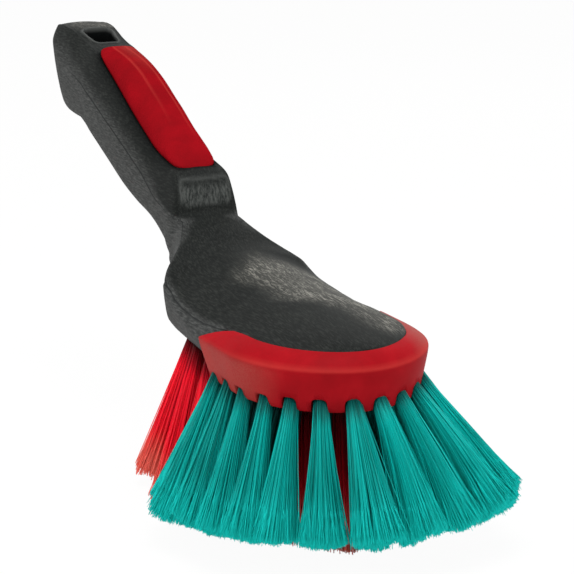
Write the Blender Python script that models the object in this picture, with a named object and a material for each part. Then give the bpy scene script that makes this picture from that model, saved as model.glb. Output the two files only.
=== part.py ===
"""Wash brush: one moulded handle block, a soft front bumper, a grip inset and a field of bristle tufts.

Metres, +Z up, the handle toward +Y and the nose of the head toward -Y. The brush stands on its red
tufts and is alike on both sides of X = 0. Heights in the tables are measured from the crease that
runs round the bumper, and lengths from the bumper's front.
"""

import math

import bmesh
import bpy
from mathutils import Matrix, Vector

# Driving sizes
BLOCK_LENGTH = 0.300        # bumper's front to just short of the handle's end
CLEARANCE = 0.0003          # between neighbouring pieces
FOOT_DEPTH = 0.076          # crease down to the surface that the brush stands on
OUTER_TUFT_LENGTH = 0.0565  # root to tip of the outer teal row
SECOND_TUFT_LENGTH = 0.058  # root to tip of the second teal row
STRAND_TRIM = 0.0005        # cut off the red strands where they stand
SLOT_WIDTH = 0.0140
SLOT_LENGTH = 0.0182
SLOT_CORNER = 0.0040

# Sizes that follow the block's length
HEAD_HALF_WIDTH = BLOCK_LENGTH * 0.130
NOSE_LENGTH = BLOCK_LENGTH * 0.147
BUMPER_REACH = BLOCK_LENGTH * 0.2307
CORE_INSET = BLOCK_LENGTH * 0.029
FLANGE_INSET = BLOCK_LENGTH * 0.013
FLANGE_END = BLOCK_LENGTH * 0.210
FLANGE_TOP = BLOCK_LENGTH * -0.0093
FLANGE_BOTTOM = BLOCK_LENGTH * -0.0377
OUTER_ROW_INSET = BLOCK_LENGTH * 0.0267
SECOND_ROW_INSET = BLOCK_LENGTH * 0.0633
TUFT_PITCH = BLOCK_LENGTH * 0.0327
PLUG_RADIUS = BLOCK_LENGTH * 0.0091
PLUG_DEPTH = BLOCK_LENGTH * 0.0273
PLUG_PROUD = BLOCK_LENGTH * 0.0017
TUFT_SPREAD = BLOCK_LENGTH * 0.0143
SLOT_CENTRE = BLOCK_LENGTH * 0.905
SLOT_TOP = BLOCK_LENGTH * 0.34
SLOT_BOTTOM = BLOCK_LENGTH * 0.14

# Shapes without a unit
OUTLINE_POWER = 1.9
FRONT_INSET_SHARE = 0.8
REAR_SLANT = 1.47
SHOULDER_SHARE = 0.32
CROWN_SHARES = (0.86, 0.62, 0.34)
HOLE_SIDES = 10
STRANDS = 7
NOSE_ANGLES = (9, 22, 36, 49, 61, 72, 81)

# The handle block from the rear of the bumper to the handle's end, in hundredths of BLOCK_LENGTH:
# distance along, crown height, then height and half width of the top edge, of the widest line, of
# the wall's foot and of the underside.
BODY_SHARES = (
    (19.1, 4.2, 1.7, 10.1, 0.0, 10.1, -2.7, 10.1, -3.65, 9.4),
    (22.9, 4.45, 1.4, 10.5, 0.1, 11.8, -1.3, 12.7, -3.65, 10.0),
    (25.7, 4.6, 1.05, 10.9, -0.1, 12.0, -1.3, 12.5, -3.65, 10.0),
    (29.3, 4.85, 1.05, 11.1, -0.1, 12.0, -1.3, 12.3, -3.65, 9.7),
    (33.0, 5.15, 1.35, 11.0, 0.3, 11.8, -1.0, 11.9, -3.65, 9.0),
    (37.7, 5.6, 2.0, 10.6, 1.0, 11.1, -0.1, 11.2, -3.5, 8.3),
    (40.5, 5.95, 3.0, 10.3, 1.9, 10.65, 0.8, 10.5, -3.2, 7.7),
    (42.0, 6.3, 4.2, 9.4, 2.7, 9.9, 1.1, 9.9, -2.5, 6.7),
    (43.3, 6.7, 5.0, 8.3, 3.2, 8.9, 1.5, 9.1, -1.7, 5.7),
    (45.6, 7.7, 6.8, 6.0, 4.2, 7.2, 2.0, 7.7, -0.2, 4.7),
    (48.3, 8.9, 8.3, 4.6, 5.2, 5.8, 2.7, 6.4, 1.5, 3.7),
    (50.3, 10.2, 9.9, 3.9, 6.0, 5.2, 3.3, 5.7, 2.5, 3.3),
    (51.2, 12.7, 11.8, 3.9, 6.7, 5.1, 3.5, 5.4, 2.9, 3.2),
    (52.2, 15.0, 14.3, 3.9, 7.7, 5.1, 3.9, 5.1, 3.2, 3.0),
    (53.3, 15.7, 15.2, 3.8, 9.0, 5.0, 4.3, 4.9, 3.5, 2.8),
    (55.3, 16.2, 15.5, 3.7, 10.5, 4.9, 5.3, 4.5, 4.1, 2.7),
    (61.0, 17.1, 16.7, 3.5, 11.8, 4.9, 7.5, 4.3, 6.6, 2.5),
    (66.7, 19.4, 19.0, 3.5, 13.7, 5.0, 8.8, 4.3, 7.8, 2.5),
    (71.3, 21.6, 21.2, 3.5, 15.7, 5.1, 10.3, 4.4, 9.2, 2.5),
    (77.3, 24.7, 24.3, 3.5, 18.5, 5.1, 12.7, 4.4, 11.5, 2.5),
    (82.3, 27.0, 26.6, 3.6, 20.5, 5.1, 14.7, 4.4, 13.4, 2.5),
    (85.3, 28.4, 28.0, 3.5, 21.8, 5.1, 15.9, 4.4, 14.6, 2.6),
    (87.7, 28.9, 28.6, 3.4, 22.7, 5.0, 17.0, 4.4, 15.9, 2.7),
    (90.3, 29.4, 29.0, 3.4, 23.5, 4.9, 17.7, 4.4, 16.9, 2.8),
    (93.0, 30.0, 29.6, 3.4, 24.2, 4.8, 17.8, 4.4, 17.2, 2.9),
    (96.0, 30.5, 30.0, 3.5, 24.8, 4.7, 18.0, 4.3, 17.4, 2.9),
    (98.3, 30.7, 30.1, 3.5, 25.2, 4.6, 18.8, 4.1, 18.1, 2.7),
    (100.2, 30.5, 29.9, 3.4, 25.4, 4.4, 20.3, 3.9, 19.5, 2.4),
    (101.1, 29.9, 29.3, 3.0, 25.5, 4.0, 21.7, 3.4, 21.0, 2.0),
    (101.6, 28.8, 28.2, 2.3, 25.6, 3.1, 23.2, 2.6, 22.6, 1.5),
)

# The grip inset, in hundredths of BLOCK_LENGTH: distance along, half width, height of its edge and
# rise of its crown above the edge.
GRIP_SHARES = (
    (54.7, 2.2, 15.7, 0.6),
    (55.3, 2.75, 15.75, 1.2),
    (56.5, 3.0, 15.9, 2.0),
    (60.5, 3.0, 16.8, 3.3),
    (66.7, 3.0, 19.2, 4.3),
    (71.3, 3.0, 21.5, 4.2),
    (76.0, 3.0, 23.9, 3.4),
    (80.0, 2.95, 25.8, 2.3),
    (82.9, 2.85, 27.1, 1.4),
    (84.1, 2.5, 27.8, 0.9),
    (84.6, 1.9, 28.0, 0.5),
)
GRIP_DEPTH_SHARE = 1.0
GRIP_DOME_SHARES = ((1.0, 0.0), (1.05, 0.22), (1.03, 0.48), (0.91, 0.74), (0.66, 0.91), (0.34, 0.98))
RECESS_OPEN_SHARE = 4.0

# The bumper's section, in hundredths of BLOCK_LENGTH: inset from the crease and height
BUMPER_SHARES = (
    (0.0, -0.25),
    (0.18, 0.15),
    (1.4, 1.2),
    (2.72, 1.85),
    (2.83, -0.83),
    (1.2, -0.83),
    (1.2, -3.87),
    (1.8, -3.87),
    (1.65, -5.07),
    (1.07, -5.13),
    (0.73, -3.7),
    (0.25, -1.6),
)

# Red tufts, in hundredths of BLOCK_LENGTH: half spacing across, distance along, and how far the tip
# goes outward and backward
RED_SHARES = (
    (0.0, 10.0, 0.0, -1.3),
    (3.2, 13.7, 0.6, -0.7),
    (0.0, 17.3, 0.0, 0.0),
    (3.2, 21.0, 0.6, 0.3),
    (2.5, 25.3, 0.5, 1.5),
    (6.5, 25.3, 1.6, 1.5),
    (10.2, 25.3, 3.2, 1.5),
    (2.5, 30.0, 0.5, 3.6),
    (6.5, 30.0, 1.6, 3.6),
    (10.0, 30.0, 3.2, 3.6),
    (2.5, 34.7, 0.5, 6.6),
    (6.3, 34.7, 1.6, 6.8),
    (9.5, 34.7, 2.7, 7.2),
    (2.3, 39.2, 0.5, 8.8),
    (5.8, 39.2, 1.8, 9.2),
)

# Tips of the strands of a tuft: distance from its axis as a share of the spread
STRAND_TIP_SHARES = (1.0, 0.42, 0.95, 0.4, 1.0, 0.45, 0.9)
STRAND_TAPER_SHARE = 0.62
CELL_INSET_SHARE = 0.09
# Outward lean of the tufts in degrees, from the front to the rear of a side
OUTER_LEANS = (24, 29, 35, 36, 31, 26, 25, 26)
SECOND_LEANS = (13, 15, 18, 18, 15, 13, 14)
SCALLOP_SHARES = (1.5, 1.95)


def clear_scene():
    for item in list(bpy.data.objects):
        bpy.data.objects.remove(item, do_unlink=True)
    for group in list(bpy.data.collections):
        bpy.data.collections.remove(group)


def new_collection(name):
    group = bpy.data.collections.new(name)
    bpy.context.scene.collection.children.link(group)
    return group


def new_material(name, colour, roughness):
    material = bpy.data.materials.new(name)
    material.use_nodes = True
    shader = material.node_tree.nodes["Principled BSDF"]
    shader.inputs["Base Color"].default_value = (*colour, 1.0)
    shader.inputs["Roughness"].default_value = roughness
    material.diffuse_color = (*colour, 1.0)
    return material


def add_object(name, bm, group, material=None, sharp=35):
    if bm.calc_volume(signed=True) < 0:
        bmesh.ops.reverse_faces(bm, faces=bm.faces[:])
    mesh = bpy.data.meshes.new(name)
    bm.to_mesh(mesh)
    bm.free()
    for face in mesh.polygons:
        face.use_smooth = True
    mesh.set_sharp_from_angle(angle=math.radians(sharp))
    item = bpy.data.objects.new(name, mesh)
    group.objects.link(item)
    if material:
        mesh.materials.append(material)
    else:
        item.hide_render = True
        item.display_type = "WIRE"
    return item


def combine(target, tool, operation):
    step = target.modifiers.new(tool.name, "BOOLEAN")
    step.operation = operation
    step.solver = "EXACT"
    step.object = tool


def in_metres(row):
    return tuple(share * BLOCK_LENGTH / 100 for share in row)


def outline_point(angle, inset):
    """Half width and distance along of the nose's outline, moved inward: 0 is the front, 90 the side."""
    turn = math.radians(angle)
    power = 2 / OUTLINE_POWER
    wide = (HEAD_HALF_WIDTH - inset) * math.sin(turn) ** power
    deep = (NOSE_LENGTH - inset * FRONT_INSET_SHARE) * abs(math.cos(turn)) ** power
    return wide, NOSE_LENGTH - deep


def walk_outline(inset, distance):
    """Point and outward direction on the nose's outline, a distance from the front centre."""
    steps = 90
    last = outline_point(0, inset)
    gone = 0
    for step in range(1, steps + 1):
        point = outline_point(90 * step / steps, inset)
        length = math.dist(last, point)
        if gone + length >= distance:
            share = (distance - gone) / length
            place = [a + (b - a) * share for a, b in zip(last, point)]
            along = [(b - a) / length for a, b in zip(last, point)]
            return Vector((place[0], place[1])), Vector((along[1], -along[0]))
        gone += length
        last = point
    return Vector((last[0], last[1] + distance - gone)), Vector((1, 0))


def skin(bm, rings, closed_ends=True):
    """Faces between rings that have the same number of points."""
    count = len(rings[0])
    loops = [[bm.verts.new(point) for point in ring] for ring in rings]
    for near, far in zip(loops, loops[1:]):
        for i in range(count):
            j = (i + 1) % count
            bm.faces.new((near[i], near[j], far[j], far[i]))
    if closed_ends:
        bm.faces.new(loops[0][::-1])
        bm.faces.new(loops[-1])


def both_sides(half, along):
    """A whole ring from a half section that starts and ends on the middle plane."""
    right = [(wide, along, high) for wide, high in half]
    left = [(-wide, along, high) for wide, high in half[1:-1]]
    return right + left[::-1]


def body_ring(row):
    along, crown, edge_z, edge_w, wide_z, wide_w, foot_z, foot_w, under_z, under_w = row
    half = [
        (0, under_z),
        (under_w / 2, under_z),
        (under_w, under_z),
        (foot_w, foot_z),
        (wide_w - SHOULDER_SHARE * (wide_w - foot_w), (wide_z + foot_z) / 2),
        (wide_w, wide_z),
        (wide_w - SHOULDER_SHARE * (wide_w - edge_w), (wide_z + edge_z) / 2),
        (edge_w, edge_z),
    ]
    for share in CROWN_SHARES:
        half.append((edge_w * share, edge_z + (crown - edge_z) * (1 - share ** 2)))
    half.append((0, crown))
    return both_sides(half, along)


def nose_rows():
    """The block's core inside the bumper: upright walls that follow the nose's outline."""
    first = in_metres(BODY_SHARES[0])
    along, crown, edge_z, _, _, _, _, _, under_z, _ = first
    front = outline_point(0, CORE_INSET)[1]
    rows = []
    for angle in NOSE_ANGLES:
        wide, place = outline_point(angle, CORE_INSET)
        share = (place - front) / (along - front)
        top = edge_z + (crown - edge_z) * (0.1 + 0.9 * share ** 0.7)
        mid = (edge_z + under_z) / 2
        foot = under_z + CORE_INSET * 0.3
        rows.append((place, top, edge_z, wide, mid, wide, foot, wide, under_z, wide * 0.9))
    wide, place = outline_point(90, CORE_INSET)
    share = (place - front) / (along - front)
    top = edge_z + (crown - edge_z) * (0.1 + 0.9 * share ** 0.7)
    rows.append((place, top, edge_z, wide, mid, wide, foot, wide, under_z, wide * 0.9))
    return rows


def build_block(group, cutters, material):
    """The one-piece handle block, before its seat, recess, slot and holes."""
    bm = bmesh.new()
    rows = nose_rows() + [in_metres(row) for row in BODY_SHARES]
    skin(bm, [body_ring(row) for row in rows])
    block = add_object("handle_block", bm, group, material, 28)
    flange = build_flange(cutters)
    combine(block, flange, "UNION")
    return block


def build_flange(cutters):
    """The plate that the bumper's section closes round."""
    half = [outline_point(angle, FLANGE_INSET) for angle in range(0, 91, 6)]
    half.append((HEAD_HALF_WIDTH - FLANGE_INSET, FLANGE_END))
    plan = half + [(-wide, along) for wide, along in half[1:]][::-1]
    bm = bmesh.new()
    low = [bm.verts.new((wide, along, FLANGE_BOTTOM)) for wide, along in plan]
    face = bm.faces.new(low)
    raised = bmesh.ops.extrude_face_region(bm, geom=[face])
    moved = [item for item in raised["geom"] if isinstance(item, bmesh.types.BMVert)]
    bmesh.ops.translate(bm, verts=moved, vec=(0, 0, FLANGE_TOP - FLANGE_BOTTOM))
    return add_object("bumper_seat", bm, cutters)


def bumper_station(part):
    """One ring of the bumper. Part runs from -1 at its left end through the nose to 1."""
    bend = min(abs(part) / 0.76, 1)
    straight = max((abs(part) - 0.76) / 0.24, 0)
    ring = []
    for inset, high in (in_metres(row) for row in BUMPER_SHARES):
        wide, along = outline_point(90 * bend, inset)
        end = BUMPER_REACH - REAR_SLANT * inset
        along += (end - along) * straight
        ring.append((math.copysign(wide, part), along, high))
    return ring


def build_bumper(group, material):
    half = [step / 13 * 0.76 for step in range(1, 14)] + [0.84, 0.92, 1.0]
    parts = [-part for part in half[::-1]] + [0] + half
    bm = bmesh.new()
    skin(bm, [bumper_station(part) for part in parts])
    return add_object("front_bumper", bm, group, material, 30)


def grip_rings(grow, top):
    """Sections of the grip inset. With grow and top it gives the recess that takes it."""
    rows = [in_metres(row) for row in GRIP_SHARES]
    middle = (rows[0][0] + rows[-1][0]) / 2
    depth = GRIP_DEPTH_SHARE * BLOCK_LENGTH / 100
    rings = []
    for along, wide, edge, rise in rows:
        place = along + math.copysign(grow, along - middle)
        full = wide + grow
        floor = edge - depth - grow
        half = [(0, floor), (full, floor)]
        if top:
            half += [(full, edge + top), (0, edge + top)]
        else:
            half += [(wide * across, edge + rise * up) for across, up in GRIP_DOME_SHARES]
            half.append((0, edge + rise))
        rings.append(both_sides(half, place))
    return rings


def build_grip(group, cutters, material, block):
    bm = bmesh.new()
    skin(bm, grip_rings(0, 0))
    add_object("handle_grip", bm, group, material, 40)
    bm = bmesh.new()
    skin(bm, grip_rings(CLEARANCE, RECESS_OPEN_SHARE * BLOCK_LENGTH / 100))
    combine(block, add_object("grip_recess", bm, cutters), "DIFFERENCE")


def build_slot(cutters, block):
    """The hanging slot: a round-cornered opening straight down through the handle's end."""
    bm = bmesh.new()
    size = Matrix.Diagonal((SLOT_WIDTH, SLOT_LENGTH, SLOT_TOP - SLOT_BOTTOM, 1))
    place = Matrix.Translation((0, SLOT_CENTRE, (SLOT_TOP + SLOT_BOTTOM) / 2))
    bmesh.ops.create_cube(bm, size=1, matrix=place @ size)
    upright = [edge for edge in bm.edges if abs(edge.verts[0].co.z - edge.verts[1].co.z) > SLOT_WIDTH]
    bmesh.ops.bevel(
        bm, geom=upright, offset=SLOT_CORNER, segments=4, profile=0.5, affect="EDGES", material=-1
    )
    combine(block, add_object("hanging_slot", bm, cutters), "DIFFERENCE")


def underside(wide, along):
    """Height of the block's underside, or of the flange under the nose."""
    if along < FLANGE_END:
        return FLANGE_BOTTOM
    rows = [in_metres(row) for row in BODY_SHARES]
    for near, far in zip(rows, rows[1:]):
        if near[0] <= along <= far[0]:
            share = (along - near[0]) / (far[0] - near[0])
            foot_z, foot_w, under_z, under_w = (
                near[i] + (far[i] - near[i]) * share for i in (6, 7, 8, 9)
            )
            if abs(wide) <= under_w:
                return under_z
            return under_z + (foot_z - under_z) * (abs(wide) - under_w) / (foot_w - under_w)
    return FLANGE_BOTTOM


def tuft_places():
    """Name stem, colour, root and tip of every tuft, as seen from below the block."""
    places = []

    def add(stem, colour, root, tip):
        places.append((stem, colour, Vector(root), Vector(tip)))

    for row, inset, leans, length, start in (
        ("outer", OUTER_ROW_INSET, OUTER_LEANS, OUTER_TUFT_LENGTH, 0.5),
        ("second", SECOND_ROW_INSET, SECOND_LEANS, SECOND_TUFT_LENGTH, 0),
    ):
        for step, lean in enumerate(leans):
            point, outward = walk_outline(inset, (step + start) * TUFT_PITCH)
            high = underside(point.x, point.y)
            tip = point + outward * length * math.sin(math.radians(lean))
            end = high - length * math.cos(math.radians(lean))
            for side in (1, -1) if step + start else (1,):
                name = f"{row}_tuft_{'right' if side > 0 else 'left'}_{step + 1}"
                if not step + start:
                    name = f"{row}_tuft_middle"
                add(name, "teal", (side * point.x, point.y, high), (side * tip.x, tip.y, end))
    for count, row in enumerate(RED_SHARES, 1):
        wide, along, outward, back = in_metres(row)
        high = underside(wide, along)
        foot = -(FOOT_DEPTH + STRAND_TRIM)
        for side in (1, -1) if wide else (1,):
            name = f"inner_tuft_{'right' if side > 0 else 'left'}_{count}"
            if not wide:
                name = f"inner_tuft_middle_{count}"
            root = (side * wide, along, high)
            add(name, "red", root, (side * (wide + outward), along + back, foot))
    return places


def axis_frame(root, tip):
    """Places local +Z along a tuft, with its origin at the hole's mouth."""
    turn = (tip - root).to_track_quat("Z", "Y").to_matrix().to_4x4()
    return Matrix.Translation(root) @ turn


def build_tuft(name, root, tip, group, material, trimmed):
    """A bundle of strands standing on the plug that fills its hole. Left ones mirror the right."""
    bm = bmesh.new()
    across = Matrix.Diagonal((-1 if root.x < 0 else 1, 1, 1, 1))
    frame = across @ axis_frame(across @ root, across @ tip)
    reach = (tip - root).length
    plug = PLUG_DEPTH + PLUG_PROUD
    bmesh.ops.create_cone(
        bm, cap_ends=True, cap_tris=True, segments=STRANDS, radius1=PLUG_RADIUS, radius2=PLUG_RADIUS,
        depth=plug, matrix=Matrix.Translation((0, 0, PLUG_PROUD - plug / 2))
    )
    cells = [face for face in bm.faces if face.normal.z > 0.5]
    cells.sort(key=lambda face: math.atan2(face.calc_center_median().y, face.calc_center_median().x))
    bmesh.ops.inset_individual(
        bm, faces=cells, thickness=PLUG_RADIUS * CELL_INSET_SHARE, use_even_offset=True
    )
    strands = bmesh.ops.extrude_discrete_faces(bm, faces=cells)["faces"]
    strands.sort(key=lambda face: math.atan2(face.calc_center_median().y, face.calc_center_median().x))
    for face, share in zip(strands, STRAND_TIP_SHARES):
        middle = face.calc_center_median()
        aim = Vector((middle.x, middle.y, 0)).normalized() * TUFT_SPREAD * share
        aim.z = reach
        for vert in face.verts:
            vert.co = aim + (vert.co - middle) * STRAND_TAPER_SHARE
    bm.transform(frame)
    if trimmed:
        bmesh.ops.bisect_plane(
            bm, geom=bm.verts[:] + bm.edges[:] + bm.faces[:], plane_co=(0, 0, -FOOT_DEPTH),
            plane_no=(0, 0, -1), clear_outer=True
        )
        rims = [edge for edge in bm.edges if edge.is_boundary]
        bmesh.ops.holes_fill(bm, edges=rims)
    return add_object(name, bm, group, material, 50)


def build_holes(places, cutters, block, bumper):
    """Blind holes fanning out of the block, and the scallops that the outer tufts make in the skirt."""
    holes = bmesh.new()
    scallops = bmesh.new()
    hole_depth = PLUG_DEPTH + CLEARANCE
    mouth = PLUG_DEPTH
    for name, _, root, tip in places:
        frame = axis_frame(root, tip)
        bmesh.ops.create_cone(
            holes, cap_ends=True, segments=HOLE_SIDES, radius1=PLUG_RADIUS + CLEARANCE,
            radius2=PLUG_RADIUS + CLEARANCE, depth=hole_depth + mouth,
            matrix=frame @ Matrix.Translation((0, 0, (mouth - hole_depth) / 2))
        )
        if name.startswith("outer"):
            bmesh.ops.create_cone(
                scallops, cap_ends=True, segments=HOLE_SIDES + 4,
                radius1=PLUG_RADIUS * SCALLOP_SHARES[0], radius2=PLUG_RADIUS * SCALLOP_SHARES[1],
                depth=mouth, matrix=frame @ Matrix.Translation((0, 0, mouth / 2))
            )
    combine(block, add_object("tuft_holes", holes, cutters), "DIFFERENCE")
    combine(bumper, add_object("skirt_scallops", scallops, cutters), "DIFFERENCE")


def stand_on_ground(group, cutters):
    """Moves everything so that the origin is under the middle of the brush, where it stands."""
    bpy.context.view_layer.update()
    graph = bpy.context.evaluated_depsgraph_get()
    points = []
    for item in group.objects:
        solid = item.evaluated_get(graph)
        points += [solid.matrix_world @ vert.co for vert in solid.data.vertices]
    low = Vector([min(point[i] for point in points) for i in range(3)])
    high = Vector([max(point[i] for point in points) for i in range(3)])
    shift = Vector((-(low.x + high.x) / 2, -(low.y + high.y) / 2, -low.z))
    for item in list(group.objects) + list(cutters.objects):
        item.location = shift
    print("shift", [round(value, 6) for value in shift])
    print("size", [round(value, 5) for value in high - low])


def main():
    clear_scene()
    group = new_collection("wash_brush")
    cutters = new_collection("wash_brush_cutters")
    cutters.hide_render = True
    black = new_material("charcoal_plastic", (0.028, 0.029, 0.028), 0.55)
    bumper_red = new_material("bumper_rubber", (0.42, 0.012, 0.014), 0.5)
    grip_red = new_material("grip_rubber", (0.33, 0.01, 0.014), 0.6)
    bristles = {
        "teal": new_material("teal_bristle", (0.0, 0.3, 0.25), 0.5),
        "red": new_material("red_bristle", (0.5, 0.01, 0.03), 0.5),
    }
    block = build_block(group, cutters, black)
    bumper = build_bumper(group, bumper_red)
    build_grip(group, cutters, grip_red, block)
    build_slot(cutters, block)
    places = tuft_places()
    build_holes(places, cutters, block, bumper)
    for name, colour, root, tip in places:
        build_tuft(name, root, tip, group, bristles[colour], colour == "red")
    stand_on_ground(group, cutters)
    print("tufts", len(places), "strands", len(places) * STRANDS)


main()
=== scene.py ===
import math
import bmesh
import bpy
import numpy as np
from mathutils import Matrix, Vector


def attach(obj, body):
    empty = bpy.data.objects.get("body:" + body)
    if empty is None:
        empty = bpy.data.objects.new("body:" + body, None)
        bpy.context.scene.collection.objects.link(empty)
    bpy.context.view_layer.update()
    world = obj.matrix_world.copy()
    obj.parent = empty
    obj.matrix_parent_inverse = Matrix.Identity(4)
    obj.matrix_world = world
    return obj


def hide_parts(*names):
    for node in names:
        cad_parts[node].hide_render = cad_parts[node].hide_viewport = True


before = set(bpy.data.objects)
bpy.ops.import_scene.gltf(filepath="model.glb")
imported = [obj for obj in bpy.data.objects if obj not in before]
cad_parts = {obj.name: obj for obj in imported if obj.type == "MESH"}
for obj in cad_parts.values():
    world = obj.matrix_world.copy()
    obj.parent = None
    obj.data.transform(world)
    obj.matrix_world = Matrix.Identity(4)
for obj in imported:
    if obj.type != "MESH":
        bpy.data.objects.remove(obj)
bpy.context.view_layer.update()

# Lengths in this file are mm, measured on the brush: x across, y back from the bumper's front,
# z up from the crease round the bumper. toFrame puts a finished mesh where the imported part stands,
# by a shift in metres.
frameShift = (0, -0.142902, 0.076)
toFrame = Matrix.Translation(frameShift) @ Matrix.Scale(0.001, 4)
groundZ = -1000 * frameShift[2]


# small helpers
def shade(hexColour):
    # sRGB hex to the linear colour that a shader takes
    parts = [int(hexColour[i:i + 2], 16) / 255 for i in (1, 3, 5)]
    return tuple(p / 12.92 if p <= 0.04045 else ((p + 0.055) / 1.055) ** 2.4 for p in parts) + (1.0,)


def addNode(tree, kind, sockets=None, links=None, ramp=None, **settings):
    item = tree.nodes.new("ShaderNode" + kind)
    for name, value in settings.items():
        setattr(item, name, value)
    if ramp:
        stops = item.color_ramp.elements
        while len(stops) < len(ramp):
            stops.new(0.5)
        for stop, (place, colour) in zip(stops, ramp):
            stop.position = place
            stop.color = shade(colour)
    for name, value in (sockets or {}).items():
        item.inputs[name].default_value = value
    for name, source in (links or {}).items():
        tree.links.new(source, item.inputs[name])
    return item


def newMaterial(name, **sockets):
    material = bpy.data.materials.new(name)
    material.use_nodes = True
    tree = material.node_tree
    shader = tree.nodes["Principled BSDF"]
    for key, value in sockets.items():
        shader.inputs[key.replace("_", " ")].default_value = value
    return material, tree, shader


def meshFrom(bm, name):
    mesh = bpy.data.meshes.new(name)
    bm.to_mesh(mesh)
    bm.free()
    return mesh


def addObject(name, data):
    thing = bpy.data.objects.new(name, data)
    bpy.context.scene.collection.objects.link(thing)
    return thing


def finishPiece(name, bm, material, smoothAngle=40):
    # mesh in mm becomes an object at the origin, with its place in its mesh
    bmesh.ops.recalc_face_normals(bm, faces=bm.faces[:])
    bm.transform(toFrame)
    mesh = meshFrom(bm, name)
    mesh.polygons.foreach_set("use_smooth", [True] * len(mesh.polygons))
    mesh.set_sharp_from_angle(angle=math.radians(smoothAngle))
    mesh.materials.append(material)
    return addObject(name, mesh)


def cutFrom(piece, bm):
    # takes the shape in bm out of a piece for good
    tool = finishPiece(piece.name + "_cutter", bm, piece.data.materials[0])
    step = piece.modifiers.new("cut", "BOOLEAN")
    step.operation = "DIFFERENCE"
    step.solver = "EXACT"
    step.object = tool
    graph = bpy.context.evaluated_depsgraph_get()
    cut = bpy.data.meshes.new_from_object(piece.evaluated_get(graph))
    piece.modifiers.clear()
    old = piece.data
    piece.data = cut
    bpy.data.meshes.remove(old)
    bpy.data.objects.remove(tool, do_unlink=True)
    cut.name = piece.name


def rideOn(piece, slot, *replaced):
    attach(piece, "root")
    if replaced:
        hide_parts(*replaced)


def placesOf(piece):
    # x, y and z of a piece's points in mm
    co = np.empty(len(piece.data.vertices) * 3)
    piece.data.vertices.foreach_get("co", co)
    return (co.reshape(-1, 3) - frameShift).T * 1000


def setPoints(piece, **layers):
    # per-point values that a material reads by name
    for name, values in layers.items():
        layer = piece.data.attributes.new(name, "FLOAT", "POINT")
        layer.data.foreach_set("value", values.astype(np.float32))


def rise(values, start, end):
    # 0 at start, 1 at end
    return np.clip((values - start) / (end - start), 0, 1)


def roundedBoxDistance(x, y, halfX, halfY, corner):
    # negative inside a rounded rectangle
    dx, dy = np.abs(x) - halfX + corner, np.abs(y) - halfY + corner
    return np.hypot(np.maximum(dx, 0), np.maximum(dy, 0)) + np.minimum(np.maximum(dx, dy), 0) - corner


def easeCurve(knots, values, places):
    # cubic through a table's values that never overshoots them
    knots, values = np.asarray(knots, float), np.asarray(values, float)
    gap = np.diff(knots)
    slope = np.diff(values, axis=0) / gap[:, None]
    tangent = np.zeros_like(values)
    same = slope[1:] * slope[:-1] > 0
    weightA, weightB = (2 * gap[1:] + gap[:-1])[:, None], (gap[1:] + 2 * gap[:-1])[:, None]
    near, far = np.where(same, slope[:-1], 1), np.where(same, slope[1:], 1)
    tangent[1:-1] = np.where(same, (weightA + weightB) / (weightA / near + weightB / far), 0)
    tangent[0], tangent[-1] = slope[0], slope[-1]
    cell = np.clip(np.searchsorted(knots, places, side="right") - 1, 0, len(gap) - 1)
    t = ((places - knots[cell]) / gap[cell])[:, None]
    h = gap[cell][:, None]
    a, b, ta, tb = values[cell], values[cell + 1], tangent[cell], tangent[cell + 1]
    return (a * (2 * t ** 3 - 3 * t ** 2 + 1) + b * (3 * t ** 2 - 2 * t ** 3)
            + h * (ta * (t ** 3 - 2 * t ** 2 + t) + tb * (t ** 3 - t ** 2)))


def evenRows(rows, columns, gap):
    # a table's rows eased into many, one for each gap along the path that its columns give
    step = np.linalg.norm(np.diff(rows[:, columns], axis=0), axis=1)
    knots = np.concatenate([[0], np.cumsum(step)])
    return easeCurve(knots, rows, np.linspace(0, knots[-1], int(knots[-1] / gap)))


def roundRing(points, steps, tension, limit):
    # closed smooth curve through a ring's corner points, shape (corners, 3)
    before, after = np.roll(points, 1, 0), np.roll(points, -1, 0)
    beyond = np.roll(points, -2, 0)
    near, far = (after - before) * tension, (beyond - points) * tension
    # a long neighbour must not throw the curve past a short edge
    size = np.linalg.norm(after - points, axis=1, keepdims=True)
    for m in (near, far):
        m *= np.minimum(1, size * limit / (np.linalg.norm(m, axis=1, keepdims=True) + 1e-9))
    rows = []
    for t in np.arange(steps) / steps:
        rows.append(points * (2 * t ** 3 - 3 * t ** 2 + 1) + after * (3 * t ** 2 - 2 * t ** 3)
                    + near * (t ** 3 - 2 * t ** 2 + t) + far * (t ** 3 - t ** 2))
    return np.stack(rows, 1).reshape(-1, 3)


def mirrored(half):
    # a ring's right half, which starts and ends on the middle line, made whole
    return half + [(-x, z) for x, z in half[1:-1]][::-1]


def loft(rings):
    # a grid is laid over the rings, its two long edges are welded and its ends are filled
    rings = np.asarray(rings, float)
    along, around = rings.shape[:2]
    bm = bmesh.new()
    bmesh.ops.create_grid(bm, x_segments=along - 1, y_segments=around, size=0.5)
    for vert in bm.verts:
        i = round((vert.co.x + 0.5) * (along - 1))
        j = round((vert.co.y + 0.5) * around) % around
        vert.co = rings[i, j]
    bmesh.ops.remove_doubles(bm, verts=bm.verts[:], dist=1e-4)
    bmesh.ops.holes_fill(bm, edges=[edge for edge in bm.edges if edge.is_boundary])
    return bm


# camera, light and floor, in metres
cameraView = dict(
    place=(-0.316495, -0.740003, 0.275748),
    right=(0.90393066, -0.42765121, -0.00487904),
    up=(0.10826892, 0.21778275, 0.96997346),
    lens=125.31,
    sensor=36,
    clip=(0.05, 20),
)


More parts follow.
